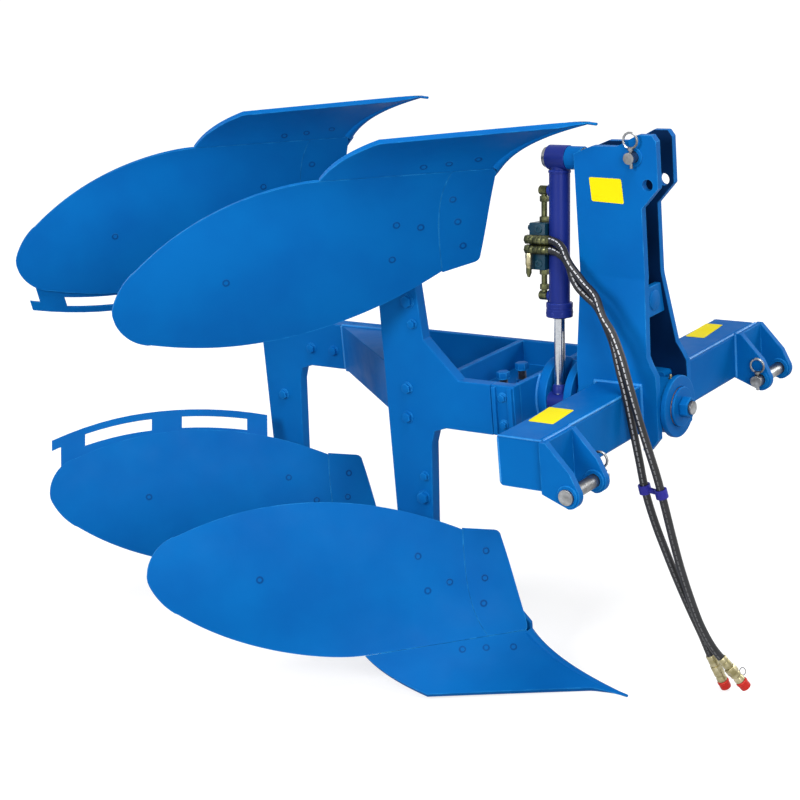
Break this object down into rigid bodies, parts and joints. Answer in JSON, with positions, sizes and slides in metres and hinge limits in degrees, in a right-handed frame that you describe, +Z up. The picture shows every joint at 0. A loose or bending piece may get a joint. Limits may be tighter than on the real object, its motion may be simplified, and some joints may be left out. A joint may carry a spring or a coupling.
{
  "type": "reversible plough",
  "caption": "Mounted reversible plough: a hitch headstock carries a turning frame with right-hand bodies below and left-hand bodies above, turned over by a hydraulic cylinder.",
  "frame": {"origin": "middle between the two lower hitch points, on their pins' common centre line", "axes": "+X along the way of travel, +Y to the left-hand side, +Z up"},
  "size_m": [1.8534, 1.2429, 1.314],
  "materials": {
    "frame_paint": "satin",
    "cylinder_paint": "gloss",
    "steel": "satin",
    "chrome": "polished",
    "bronze": "satin",
    "valve_paint": "satin",
    "rubber": "matte",
    "clamp_plastic": "matte",
    "cap_red": "satin"
  },
  "bodies": {
    "headstock": {"crossbar_left": "frame_paint", "crossbar_right": "frame_paint", "hub_tube": "frame_paint", "front_bush": "bronze", "rear_bush": "bronze", "mast_plate_left": "frame_paint", "mast_plate_right": "frame_paint", "mast_rear_plate": "frame_paint", "mast_tie": "frame_paint", "hitch_clevis_left": "frame_paint", "hitch_clevis_right": "frame_paint", "hitch_pin_left": "steel", "hitch_pin_right": "steel", "top_link_pin": "steel", "cylinder_pin": "steel", "upper_hose": "rubber", "upper_hose_coupler": "steel", "upper_hose_cap": "cap_red", "lower_hose": "rubber", "lower_hose_coupler": "steel", "lower_hose_cap": "cap_red", "hose_clamp": "clamp_plastic"},
    "turning_frame": {"turnover_shaft": "steel", "shaft_washer": "frame_paint", "shaft_nut": "frame_paint", "turnover_crank": "frame_paint", "head_frame": "frame_paint", "front_standard": "frame_paint", "rear_standard": "frame_paint", "diagonal_beam": "frame_paint", "front_lower_share": "frame_paint", "front_lower_shin": "frame_paint", "front_lower_mouldboard": "frame_paint", "front_lower_frog": "frame_paint", "front_lower_landside": "frame_paint", "front_upper_share": "frame_paint", "front_upper_shin": "frame_paint", "front_upper_mouldboard": "frame_paint", "front_upper_frog": "frame_paint", "front_upper_landside": "frame_paint", "rear_lower_share": "frame_paint", "rear_lower_shin": "frame_paint", "rear_lower_mouldboard": "frame_paint", "rear_lower_frog": "frame_paint", "rear_lower_landside": "frame_paint", "rear_lower_strip": "frame_paint", "rear_upper_share": "frame_paint", "rear_upper_shin": "frame_paint", "rear_upper_mouldboard": "frame_paint", "rear_upper_frog": "frame_paint", "rear_upper_landside": "frame_paint", "rear_upper_strip": "frame_paint"},
    "cylinder": {"cylinder_barrel": "cylinder_paint", "valve_block": "valve_paint"},
    "rod": {"cylinder_rod": "chrome"},
    "linch_left": {"linch_pin_left": "steel"},
    "linch_right": {"linch_pin_right": "steel"},
    "linch_top": {"linch_pin_top": "steel"},
    "screw_right": {"stop_screw_right": "steel"},
    "screw_left": {"stop_screw_left": "steel"}
  },
  "joints": [
    {"name": "turnover", "type": "hinge", "parent": "headstock", "child": "turning_frame", "pos_m": [-0.15, 0, 0.043], "axis": [-1, 0, 0], "range_deg": [0, 180]},
    {"name": "cylinder_swing", "type": "hinge", "parent": "headstock", "child": "cylinder", "pos_m": [-0.285, 0, 0.593], "axis": [1, 0, 0], "range_deg": [0, 12.9]},
    {"name": "rod_slide", "type": "slide", "parent": "cylinder", "child": "rod", "axis": [0, -0.112, -0.9937], "range_m": [-0.0655, 0]},
    {"name": "linch_left_pull", "type": "slide", "parent": "headstock", "child": "linch_left", "axis": [0, 0, 1], "range_m": [0, 0.045]},
    {"name": "linch_right_pull", "type": "slide", "parent": "headstock", "child": "linch_right", "axis": [0, 0, 1], "range_m": [0, 0.045]},
    {"name": "linch_top_pull", "type": "slide", "parent": "headstock", "child": "linch_top", "axis": [0, 0, 1], "range_m": [0, 0.045]},
    {"name": "stop_screw_right_travel", "type": "slide", "parent": "turning_frame", "child": "screw_right", "axis": [0, 0, 1], "range_m": [-0.02, 0.02]},
    {"name": "stop_screw_left_travel", "type": "slide", "parent": "turning_frame", "child": "screw_left", "axis": [0, 0, 1], "range_m": [-0.02, 0.02]}
  ],
  "couplings": [
    {"joint": "cylinder_swing", "follows": "turnover", "ratio": 0.0714}
  ]
}
